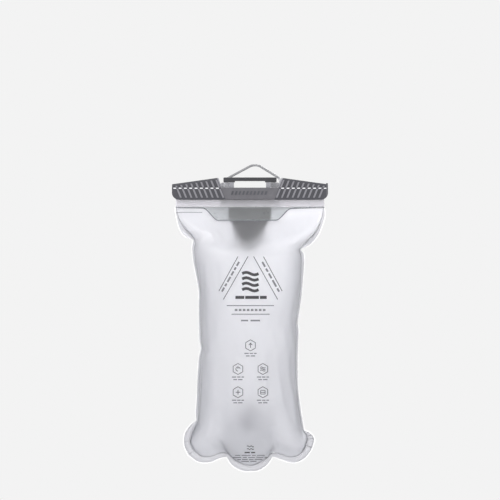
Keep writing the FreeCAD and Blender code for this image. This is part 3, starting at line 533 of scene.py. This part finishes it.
def settle(verts, flat, faces, held):
    """Cloth run: the flat cut's lengths and a light pressure pull wrinkles into the inflated film."""
    obj = new_mesh("film_settling", verts, faces)
    obj.shape_key_add(name="Basis")
    key = obj.shape_key_add(name="cut")
    key.data.foreach_set("co", flat.ravel())
    group = obj.vertex_groups.new(name="held")
    for i, weight in held.items():
        group.add([i], weight, "REPLACE")
    modifier = obj.modifiers.new("settle", "CLOTH")
    cloth = modifier.settings
    cloth.quality = 7
    cloth.mass = 0.12
    cloth.tension_stiffness = 30
    cloth.compression_stiffness = 30
    cloth.shear_stiffness = 12
    cloth.bending_stiffness = 0.15
    cloth.tension_damping = 8
    cloth.compression_damping = 8
    cloth.shear_damping = 8
    cloth.air_damping = 4
    cloth.use_pressure = True
    cloth.uniform_pressure_force = 3.0
    cloth.effector_weights.gravity = 0
    cloth.vertex_group_mass = "held"
    cloth.rest_shape_key = key
    modifier.collision_settings.use_collision = False
    modifier.collision_settings.use_self_collision = False
    modifier.point_cache.frame_end = SETTLE_FRAMES
    scene = bpy.context.scene
    for number in range(1, SETTLE_FRAMES + 1):
        scene.frame_set(number)
    depsgraph = bpy.context.evaluated_depsgraph_get()
    mesh = obj.evaluated_get(depsgraph).to_mesh()
    moved = np.zeros(len(mesh.vertices) * 3)
    mesh.vertices.foreach_get("co", moved)
    moved = moved.reshape(-1, 3)
    scene.frame_set(1)
    bpy.data.objects.remove(obj)
    shift = moved - verts
    length = np.linalg.norm(shift, axis=1)
    print("settled: mean shift mm", length.mean() * 1000, "largest", length.max() * 1000)
    cap = np.minimum(1.0, SETTLE_REACH / np.maximum(length, 1e-9))
    return verts + shift * cap[:, None]


def make_film():
    """Front and rear film, settled, with the rear one open at the port flange."""
    verts, flat, faces, index, rear_index = film_pair()
    edge = set(index[0]) | set(index[-1]) | set(index[:, 0]) | set(index[:, -1]) | set(rear_index[0])
    held = {int(i): 1.0 for i in edge}
    verts = settle(verts, flat, faces, held)
    port_low, port_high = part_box("port_flange")
    centre = (port_low + port_high) / 2
    reach = (port_high.x - port_low.x) / 2
    seat_y = port_high.y - PORT_SEAT
    rear_ids = np.unique(rear_index)
    away = np.hypot(verts[:, 0] - centre.x, verts[:, 2] - centre.z)
    near = np.clip(1 - (away - reach) / PORT_BLEND, 0, 1)
    pull = near * near * (3 - 2 * near)
    on_rear = np.zeros(len(verts), bool)
    on_rear[rear_ids] = True
    on_rear &= verts[:, 1] > REAR_START
    verts[on_rear, 1] += (pull * (seat_y - verts[:, 1]))[on_rear]
    count = len(faces) // 2
    films = []
    halves = (("film_front", faces[:count], "front_panel"), ("film_rear", faces[count:], "back_panel"))
    for name, part, node in halves:
        if node == "back_panel":
            hole = reach - PORT_HOLE_MARGIN
            part = [f for f in part if min(away[i] for i in f) > hole or verts[f[0], 1] < REAR_START]
        used = sorted({i for f in part for i in f})
        place = {old: new for new, old in enumerate(used)}
        film = new_mesh(name, verts[used], [tuple(place[i] for i in f) for f in part])
        solid = film.modifiers.new("thickness", "SOLIDIFY")
        solid.thickness = FILM
        solid.offset = -1.0
        subdivision = film.modifiers.new("smooth", "SUBSURF")
        subdivision.levels = subdivision.render_levels = 1
        apply_modifiers(film)
        film.data.shade_smooth()
        film.data.materials.append(MATERIALS["film"])
        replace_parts(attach(film, "bag"), node)
        films.append(film)
    seam = np.vstack([verts[index[:, 0]], verts[index[-1, 1:]], verts[index[:-1, -1]][::-1]])
    return films[0], films[1], seam


def make_weld(seam):
    """Flat weld round the bag with a rounded bead along its scalloped edge, coloured near white as a painted
    highlight of the rim.
    """
    outer = np.vstack([
        chain([LEFT_EAR, LEFT_SIDE, LEFT_LOBE], 90),
        chain([LEFT_LOBE_FOOT, MIDDLE_LOBE, RIGHT_LOBE_FOOT], 70)[1:],
        chain([RIGHT_LOBE[::-1], RIGHT_SIDE[::-1], RIGHT_EAR[::-1]], 90)[1:],
    ]) * MM
    seam_2d = seam[:, [0, 2]]
    count = len(outer)
    # Each outer point is joined to the nearest seam point ahead of the last one used.
    joined = np.zeros(count, int)
    last = 0
    for i in range(count):
        window = slice(last, min(last + 30, len(seam)))
        distance = np.linalg.norm(seam_2d[window] - outer[i], axis=1)
        last = last + int(distance.argmin())
        joined[i] = last
    inner = seam[joined]
    kernel = np.array([1, 2, 3, 4, 3, 2, 1]) / 16.0
    for k in range(3):
        padded = np.r_[np.repeat(inner[:1, k], 3), inner[:, k], np.repeat(inner[-1:, k], 3)]
        inner = inner.copy()
        inner[:, k] = np.convolve(padded, kernel, "valid")
    step = np.r_[0, np.cumsum(np.linalg.norm(np.diff(outer, axis=0), axis=1))]
    ruffle = RUFFLE * np.sin(step / RUFFLE_PITCH) * np.sin(step / RUFFLE_SWELL + 0.7)
    rim = np.column_stack([outer[:, 0], inner[:, 1] + ruffle, outer[:, 1]])
    direction = rim - inner
    width = np.linalg.norm(direction, axis=1, keepdims=True)
    direction = direction / np.maximum(width, 1e-6)
    side = np.array([0.0, 1.0, 0.0])
    back = rim - direction * BEAD * 0.8
    start = inner - direction * WELD_OVERLAP
    half, thin = side * WELD_HALF, side * WELD_HALF * 0.8
    flat = [start - half, back - thin, back + thin, start + half]
    circle = np.linspace(0, 2 * math.pi, 10, endpoint=False)
    round_edge = [rim + direction * BEAD * (math.cos(a) - 0.6) + side * BEAD * math.sin(a) for a in circle]
    strip = swept("weld_flat", flat, "weld")
    bead = swept("weld_bead_painted_highlight", round_edge, "bead")
    return strip, bead


def swept(name, lanes, material):
    """Closed bar whose section runs through the given lanes of points."""
    count = len(lanes[0])
    across = len(lanes)
    verts = np.stack(lanes, axis=1).reshape(-1, 3)
    faces = []
    for i in range(count - 1):
        for j in range(across):
            k = (j + 1) % across
            faces.append((i * across + j, i * across + k, (i + 1) * across + k, (i + 1) * across + j))
    faces.append(tuple(range(across))[::-1])
    faces.append(tuple((count - 1) * across + j for j in range(across)))
    bar = new_mesh(name, verts, faces)
    recalculate(bar)
    bar.data.materials.append(MATERIALS[material])
    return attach(bar, "bag")


def recalculate(obj):
    """Faces all turned outwards."""
    bm = bmesh.new()
    bm.from_mesh(obj.data)
    bmesh.ops.recalc_face_normals(bm, faces=bm.faces)
    bm.to_mesh(obj.data)
    bm.free()
    obj.data.shade_smooth()


# --- lines and print that follow the film -----------------------------------------------------

def on_film(surface, side, x, z, lift):
    """Place on the front (-1) or rear (1) film over a point (x, z) of the seam plane, in millimetres."""
    eye = Vector((0, side * EYE_DISTANCE, EYE_Z))
    hit, normal, _, _ = surface.ray_cast(eye, (Vector((x * MM, 0, z * MM)) - eye).normalized())
    if hit is None:
        near, normal, _, _ = surface.find_nearest(Vector((x * MM, side * 0.01, z * MM)))
        return (x * MM, near.y + side * lift, z * MM)
    if normal.y * side < 0:
        normal = -normal
    return tuple(hit + normal * lift)


def lanes_along(points, width, closed):
    """Rows of (x, z) points side by side along a line, close enough to follow the film."""
    line = np.array(points + points[:1] if closed else points, float)
    dense = [line[0]]
    for a, b in zip(line, line[1:]):
        pieces = max(1, round(float(np.linalg.norm(b - a)) / PRINT_STEP))
        dense += [a + (b - a) * k / pieces for k in range(1, pieces + 1)]
    dense = np.array(dense)
    along = np.gradient(dense, axis=0)
    if closed:
        along[0] = along[-1] = dense[1] - dense[-2]
    along /= np.maximum(np.linalg.norm(along, axis=1, keepdims=True), 1e-9)
    across = np.column_stack([-along[:, 1], along[:, 0]])
    offsets = np.linspace(-width / 2, width / 2, max(2, round(width / PRINT_STEP) + 1))
    return [dense + across * offset for offset in offsets]


def draw(name, surface, side, strokes, material, lift):
    """Flat ribbons laid on the film. A stroke is (points, width) or (points, width, closed)."""
    verts, faces = [], []
    for stroke in strokes:
        points, width = stroke[0], stroke[1]
        lanes = lanes_along(points, width, len(stroke) > 2)
        base = len(verts)
        for lane in lanes:
            verts += [on_film(surface, side, x, z, lift) for x, z in lane]
        run = len(lanes[0])
        for k in range(len(lanes) - 1):
            for i in range(run - 1):
                a = base + k * run + i
                faces.append((a, a + 1, a + run + 1, a + run))
    obj = new_mesh(name, verts, faces)
    obj.data.materials.append(MATERIALS[material])
    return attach(obj, "bag")


def broken_bar(x0, x1, z, height, words):
    """A row of plain bars in place of a line of words."""
    total = sum(words) + WORD_GAP * (len(words) - 1)
    scale = (x1 - x0) / total
    strokes = []
    x = x0
    for word in words:
        strokes.append(([(x, z), (x + word * scale, z)], height))
        x += (word + WORD_GAP) * scale
    return strokes


def slanted_bars(start, end, height, words):
    """Plain bars along a slanted line, in place of a line of words."""
    a, b = np.array(start, float), np.array(end, float)
    strokes = []
    for stroke in broken_bar(0.0, 1.0, 0.0, height, words):
        (t0, _), (t1, _) = stroke[0]
        strokes.append(([tuple(a + (b - a) * t0), tuple(a + (b - a) * t1)], height))
    return strokes


def ring_of(x, z, radius, sides, turn=0.0):
    angles = [turn + 2 * math.pi * k / sides for k in range(sides)]
    return [(x + radius * math.cos(a), z + radius * math.sin(a)) for a in angles]


def wave(x0, x1, z, rise, waves):
    count = 8 * waves
    return [
        (x0 + (x1 - x0) * k / count, z + rise * math.sin(2 * math.pi * waves * k / count))
        for k in range(count + 1)
    ]


def emblem():
    """Stacked waves over a row of bars, in the middle of the slanted rules."""
    strokes = [(wave(-9.4, 10.2, z, 1.5, 1), 3.4) for z in (-127.0, -133.4, -139.8, -146.2)]
    strokes += broken_bar(-17.3, 19.9, -155.4, 3.6, (9, 14, 7))
    return strokes, []


def slogan_frame():
    """Two pairs of slanted rules with plain bars between them."""
    strokes = []
    for start, end in (
        ((-14.3, -106.6), (-37, -147.8)), ((-2.4, -106.6), (-31.7, -157.8)),
        ((4.3, -106.6), (32.9, -157.8)), ((16.1, -106.8), (38.2, -147.8)),
    ):
        strokes.append(([start, end], FINE_LINE))
    bars = slanted_bars((-33.4, -148.5), (-13.0, -113.0), 2.2, (3, 2, 4, 3, 2, 3))
    bars += slanted_bars((14.6, -113.0), (34.6, -148.5), 2.2, (3, 2, 3, 4, 2))
    return strokes, bars


def name_plate():
    """Rules with spaced bars between them and small bars below."""
    strokes = [([(-27.7, -165.2), (28.6, -165.2)], FINE_LINE), ([(-22, -175.4), (23.3, -175.4)], FINE_LINE)]
    bars = broken_bar(-18.1, 18.4, -170.4, 2.6, (2, 2, 2, 2, 2, 2, 2, 2))
    bars += broken_bar(-10.7, 11.9, -183.0, 1.8, (3, 4))
    return strokes, bars


def badge(x, z, glyph):
    """Hexagon with a plain glyph and two lines of small bars under it."""
    strokes = [(ring_of(x, z, 6.6, 6, math.pi / 6), 0.75, True)]
    for points in glyph:
        strokes.append(([(x + a, z + b) for a, b in points], 0.8))
    bars = broken_bar(x - 7.2, x + 7.2, z - 9.6, 1.2, (5, 4, 3))
    bars += broken_bar(x - 5.4, x + 5.4, z - 12.6, 1.2, (4, 5))
    return strokes, bars


def badges():
    up_down = [[(0, -2.8), (0, 2.8)], [(-2, 0.4), (0, 2.8), (2, 0.4)]]
    waves = [wave(-3.0, 3.0, b, 0.7, 1) for b in (-1.8, 0.0, 1.8)]
    turn = [ring_of(0, 0, 2.6, 8)[:7], [(0, 0), (0, 2.0)]]
    plus = [[(0, -2.8), (0, 2.8)], [(-2.8, 0), (2.8, 0)]]
    frame_glyph = [[(-2.6, -2.2), (2.6, -2.2), (2.6, 2.2), (-2.6, 2.2), (-2.6, -2.2)], [(-2.6, 0), (2.6, 0)]]
    strokes, bars = [], []
    for x, z, glyph in (
        (0.6, -212.6, up_down), (-14.3, -240.8, turn), (15.3, -240.8, waves),
        (-14.3, -268.5, plus), (15.3, -268.5, frame_glyph),
    ):
        more_strokes, more_bars = badge(x, z, glyph)
        strokes += more_strokes
        bars += more_bars
    return strokes, bars


def small_print():
    """Two small waves, a bold bar and four lines of small bars above the foot."""
    strokes = [(wave(-3.6, 4.4, z, 0.6, 2), 0.8) for z in (-333.0, -336.2)]
    strokes += broken_bar(-6.4, 6.0, -340.4, 1.5, (4, 3))
    bars = []
    rows = (
        (-17.6, 17.4, (4, 7, 3, 6)), (-20.0, 20.4, (6, 3, 5, 5, 2)),
        (-14.8, 14.8, (3, 5, 4, 7)), (-10.4, 7.6, (5, 4)),
    )
    for row, (x0, x1, words) in enumerate(rows):
        bars += broken_bar(x0, x1, -343.8 - 2.4 * row, 0.9, words)
    return strokes, bars


def make_print(surface):
    strokes, bars = [], []
    for black, grey in (slogan_frame(), emblem(), name_plate(), badges(), small_print()):
        strokes += black
        bars += grey
    draw("front_print", surface, -1, strokes, "ink", PRINT_LIFT)
    draw("front_small_print", surface, -1, bars, "ink_grey", PRINT_LIFT)


def s_curve(left, right, low, shoulder):
    """Outline of the mouth's lower weld: out at the ends, down through S-bends to a flat middle."""
    (xa, za), (xb, zb) = left, right
    points = [(-88.3, -48.1), (xa, za)]
    for k in range(1, 12):
        t = k / 12
        ease = t * t * (3 - 2 * t)
        points.append((xa + shoulder * t, za + (low - za) * ease))
    points.append((xa + shoulder, low))
    points.append((xb - shoulder, low))
    for k in range(1, 12):
        t = k / 12
        ease = t * t * (3 - 2 * t)
        points.append((xb - shoulder + shoulder * t, low + (zb - low) * ease))
    points += [(xb, zb), (88.8, -47.6)]
    return points


def make_apron(surface, side, name):
    """Second layer of film below the mouth, ending in an S-shaped weld line."""
    curve = s_curve((-56.6, -48.7), (49.6, -49.2), -63.6, 19.0)
    line = np.array(curve)
    columns, rows = 90, 10
    xs = np.linspace(line[0, 0], line[-1, 0], columns)
    low = np.interp(xs, line[:, 0], line[:, 1])
    verts = []
    for r in range(rows):
        for x, z in zip(xs, low):
            height = MOUTH_Z + (z - MOUTH_Z) * r / (rows - 1)
            verts.append(on_film(surface, side, x, height, 0.6 * MM))
    apron = new_mesh(name, verts, grid_faces(rows, columns))
    apron.data.materials.append(MATERIALS["apron"])
    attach(apron, "bag")
    strokes = [(curve, 1.1)]
    if side < 0:
        strokes.append(([(-88, -54.4), (-80, -54.0), (-57, -54.1)], 0.5))
    return draw(name + "_line", surface, side, strokes, "line", 0.85 * MM)


# --- hang patch and the web of the loop -------------------------------------------------------

def make_patch(surface):
    """Dark tapered patch laid on the rear film, under the moulded block of the hang loop."""
    rows, columns = 40, 21
    verts = []
    for r in range(rows):
        t = r / (rows - 1)
        z = PATCH_TOP - PATCH_LENGTH * t
        half = PATCH_HALF
        if z < PATCH_TAPER_Z:
            half = PATCH_TAPER_HALF - 14.5 * ((PATCH_TAPER_Z - z) / 35.0) ** 1.1
        if t > 0.9:
            half *= math.sqrt(max(0.05, 1 - ((t - 0.9) / 0.1) ** 2))
        for c in range(columns):
            x = half * (2 * c / (columns - 1) - 1) - 1.2 * t
            verts.append(on_film(surface, 1, x, z, 0.5 * MM))
    patch = new_mesh("hang_patch_skin", verts, grid_faces(rows, columns))
    solid = patch.modifiers.new("thickness", "SOLIDIFY")
    solid.thickness = 1.0 * MM
    solid.offset = 0.0
    apply_modifiers(patch)
    patch.data.shade_smooth()
    patch.data.materials.append(MATERIALS["patch"])
    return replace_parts(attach(patch, "bag"), "hang_patch")


def make_block(surface):
    """Moulded block that the loop's web grows out of, its front face on the rear film."""
    back_y = LOOP_Y + 1.4 * MM
    rows = [(-48.0, back_y - 0.6 * MM), (-48.6, back_y), (-54.5, back_y), (-56.5, back_y - 1.2 * MM)]
    columns = 18
    xs = np.linspace(-PATCH_HALF, PATCH_HALF, columns)
    verts = []
    for z, _ in rows:
        for x in xs:
            inner = on_film(surface, 1, x, z, 0.3 * MM)
            verts.append((x * MM, inner[1], z * MM))
    for z, outer_y in rows:
        verts += [(x * MM, outer_y, z * MM) for x in xs]
    block = closed_slab("hang_block", verts, len(rows), columns)
    block.data.shade_flat()
    bevel = block.modifiers.new("edge", "BEVEL")
    bevel.width = 0.4 * MM
    bevel.segments = 2
    block.data.materials.append(MATERIALS["patch"])
    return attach(block, "bag")


def closed_slab(name, verts, rows, columns):
    """Two matching grids of points, front then back, closed round their border."""
    front = grid_faces(rows, columns)
    sheet = rows * columns
    faces = front + [tuple(i + sheet for i in f[::-1]) for f in front]
    border = list(range(columns)) + [r * columns + columns - 1 for r in range(1, rows)]
    border += [sheet - 1 - c for c in range(1, columns)] + [r * columns for r in range(rows - 2, 0, -1)]
    for a, b in zip(border, border[1:] + border[:1]):
        faces.append((b, a, a + sheet, b + sheet))
    slab = new_mesh(name, verts, faces)
    recalculate(slab)
    return slab


def make_web():
    """Thin web where the loop leaves its block, thinnest along the hinge line."""
    hinge_y, hinge_z = LOOP_Y, HINGE_Z
    half = 25.0 * MM
    rows, columns = 13, 21
    z_low, z_high = hinge_z - 2.6 * MM, hinge_z + 2.4 * MM
    verts = []
    for side in (-1, 1):
        for r in range(rows):
            z = z_low + (z_high - z_low) * r / (rows - 1)
            thick = 0.45 * MM + 0.7 * MM * abs((z - hinge_z) / (2.6 * MM)) ** 2
            for c in range(columns):
                verts.append((half * (2 * c / (columns - 1) - 1), hinge_y + side * thick, z))
    web = closed_slab("loop_web", verts, rows, columns)
    web.data.materials.append(MATERIALS["loop"])
    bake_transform(web)
    return web


def make_spring(node):
    """Copy of a spring node with its own mesh and the spring steel, attached to the bag in the node's place.
    """
    spring = NODES[node].copy()
    spring.data = NODES[node].data.copy()
    spring.name = node + "_coil"
    bpy.context.scene.collection.objects.link(spring)
    spring.parent = None
    spring.matrix_world = NODES[node].matrix_world
    spring.data.materials.clear()
    spring.data.materials.append(MATERIALS["spring"])
    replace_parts(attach(spring, "bag"), node)
    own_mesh(spring)
    return spring


def make_mark():
    """Plain raised mark in the middle of the slider: a row of equal slanted dashes."""
    verts, faces = [], []

    def bar(points):
        base = len(verts)
        for y in (SLIDER_FACE_Y + 0.2 * MM, SLIDER_FACE_Y - 0.35 * MM):
            verts.extend((x * MM, y, z * MM) for x, z in points)
        n = len(points)
        faces.append(tuple(range(base + n, base + 2 * n)))
        for k in range(n):
            a, b = base + k, base + (k + 1) % n
            faces.append((a, b, b + n, a + n))

    low, high = MARK_Z - MARK_HALF_HEIGHT, MARK_Z + MARK_HALF_HEIGHT
    for k in range(MARK_COUNT):
        x = MARK_START + MARK_PITCH * k
        top = x + MARK_SLANT
        bar([(x, low), (x + MARK_WIDTH, low), (top + MARK_WIDTH, high), (top, high)])
    mark = new_mesh("slider_mark", verts, faces, smooth=False)
    recalculate(mark)
    mark.data.shade_flat()
    mark.data.materials.append(MATERIALS["mark"])
    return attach(mark, "slider")


CAD_FRONT = surface_of(NODES["front_panel"])

# --- making the object ------------------------------------------------------------------------
paint_cad_nodes()
film_front, film_rear, seam_line = make_film()
make_weld(seam_line)
FRONT = surface_of(film_front)
REAR = surface_of(film_rear)
make_apron(FRONT, -1, "apron_front")
make_apron(REAR, 1, "apron_rear")
make_print(FRONT)
make_patch(REAR)
make_block(REAR)
make_web()
make_mark()
make_spring("button_spring")
make_spring("valve_spring")


# --- stage, light and camera ------------------------------------------------------------------

def make_stage():
    floor_z = -0.9
    angles = np.linspace(0, 2 * math.pi, 96, endpoint=False)
    ring = [(2.0 * math.cos(a), 2.0 * math.sin(a), floor_z) for a in angles]
    floor = new_mesh("floor", ring, [tuple(range(len(ring)))], smooth=False)
    mat, *_ = plain_material("floor_pale", srgb(244, 244, 244), 0.9)
    floor.data.materials.append(mat)
    world = bpy.data.worlds.new("studio")
    bpy.context.scene.world = world
    world.use_nodes = True
    background = world.node_tree.nodes["Background"]
    background.inputs["Color"].default_value = srgb(243, 243, 243)
    background.inputs["Strength"].default_value = 1.0


def area_light(name, place, target, size, power):
    data = bpy.data.lights.new(name, "AREA")
    data.shape = "DISK"
    data.size = size
    data.energy = power
    light = bpy.data.objects.new(name, data)
    light.location = place
    aim = Vector(target) - Vector(place)
    light.rotation_euler = aim.to_track_quat("-Z", "Y").to_euler()
    bpy.context.scene.collection.objects.link(light)


def make_camera():
    """Level camera facing the printed front."""
    data = bpy.data.cameras.new("camera")
    data.lens = 85
    data.sensor_width = 36
    data.clip_end = 50
    camera = bpy.data.objects.new("camera", data)
    camera.location = (0, -EYE_DISTANCE, EYE_Z)
    camera.rotation_euler = (math.pi / 2, 0, 0)
    bpy.context.scene.collection.objects.link(camera)
    bpy.context.scene.camera = camera


bpy.context.scene.view_settings.view_transform = "Standard"
make_stage()
area_light("key", (-0.7, -1.1, 0.7), (0, 0, -0.15), 0.7, 9)
area_light("fill", (0.9, -0.9, 0.1), (0, 0, -0.2), 0.9, 4)
area_light("back", (0.3, 1.1, 0.6), (0, 0, -0.2), 0.9, 8)
make_camera()
